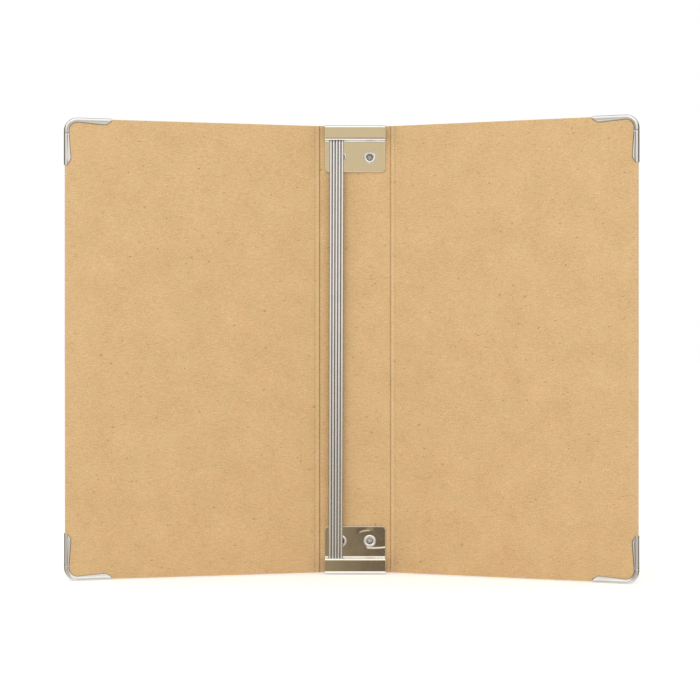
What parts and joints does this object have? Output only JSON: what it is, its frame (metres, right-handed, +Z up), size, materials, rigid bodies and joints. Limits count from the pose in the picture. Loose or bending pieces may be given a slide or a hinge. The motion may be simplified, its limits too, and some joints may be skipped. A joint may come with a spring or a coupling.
{
  "type": "scrapbook album",
  "caption": "Open-spine kraft board album with metal corners; steel wires in slotted end holders carry slim booklets along the spine.",
  "frame": {"origin": "middle of the spine panel's bottom edge face, with the album standing upright", "axes": "+Z up along the spine, +X across the spine towards the back cover, -Y out of the open side"},
  "size_m": [0.269, 0.0532, 0.218],
  "materials": {
    "kraft_board": "matte",
    "plated_corner": "satin",
    "plated_holder": "gloss",
    "wire_steel": "gloss",
    "rivet_metal": "gloss"
  },
  "bodies": {
    "spine": {"spine_panel": "kraft_board", "front_hinge_strip": "kraft_board", "back_hinge_strip": "kraft_board", "foot_wire_holder": "plated_holder", "head_wire_holder": "plated_holder", "foot_rivet_front": "rivet_metal", "foot_rivet_back": "rivet_metal", "head_rivet_front": "rivet_metal", "head_rivet_back": "rivet_metal"},
    "front_cover": {"front_cover_board": "kraft_board", "front_foot_corner": "plated_corner", "front_head_corner": "plated_corner"},
    "back_cover": {"back_cover_board": "kraft_board", "back_foot_corner": "plated_corner", "back_head_corner": "plated_corner"},
    "wire_1": {"booklet_wire_1": "wire_steel"},
    "wire_2": {"booklet_wire_2": "wire_steel"},
    "wire_3": {"booklet_wire_3": "wire_steel"},
    "wire_4": {"booklet_wire_4": "wire_steel"},
    "wire_5": {"booklet_wire_5": "wire_steel"}
  },
  "joints": [
    {"name": "front_cover_fold", "type": "hinge", "parent": "spine", "child": "front_cover", "pos_m": [-0.01855, 0, 0.1085], "axis": [0, 0, 1], "range_deg": [-106.8, 73.2], "deforming": ["front_hinge_strip"]},
    {"name": "back_cover_fold", "type": "hinge", "parent": "spine", "child": "back_cover", "pos_m": [0.01855, 0, 0.1085], "axis": [0, 0, -1], "range_deg": [-113.9, 66.1], "deforming": ["back_hinge_strip"]},
    {"name": "wire_1_slide", "type": "slide", "parent": "spine", "child": "wire_1", "axis": [1, 0, 0], "range_m": [0, 0.00368]},
    {"name": "wire_2_slide", "type": "slide", "parent": "wire_1", "child": "wire_2", "axis": [1, 0, 0], "range_m": [0, 0.00368]},
    {"name": "wire_3_slide", "type": "slide", "parent": "wire_2", "child": "wire_3", "axis": [1, 0, 0], "range_m": [0, 0.00368]},
    {"name": "wire_4_slide", "type": "slide", "parent": "wire_3", "child": "wire_4", "axis": [1, 0, 0], "range_m": [0, 0.00368]},
    {"name": "wire_5_slide", "type": "slide", "parent": "wire_4", "child": "wire_5", "axis": [1, 0, 0], "range_m": [0, 0.00368]}
  ]
}
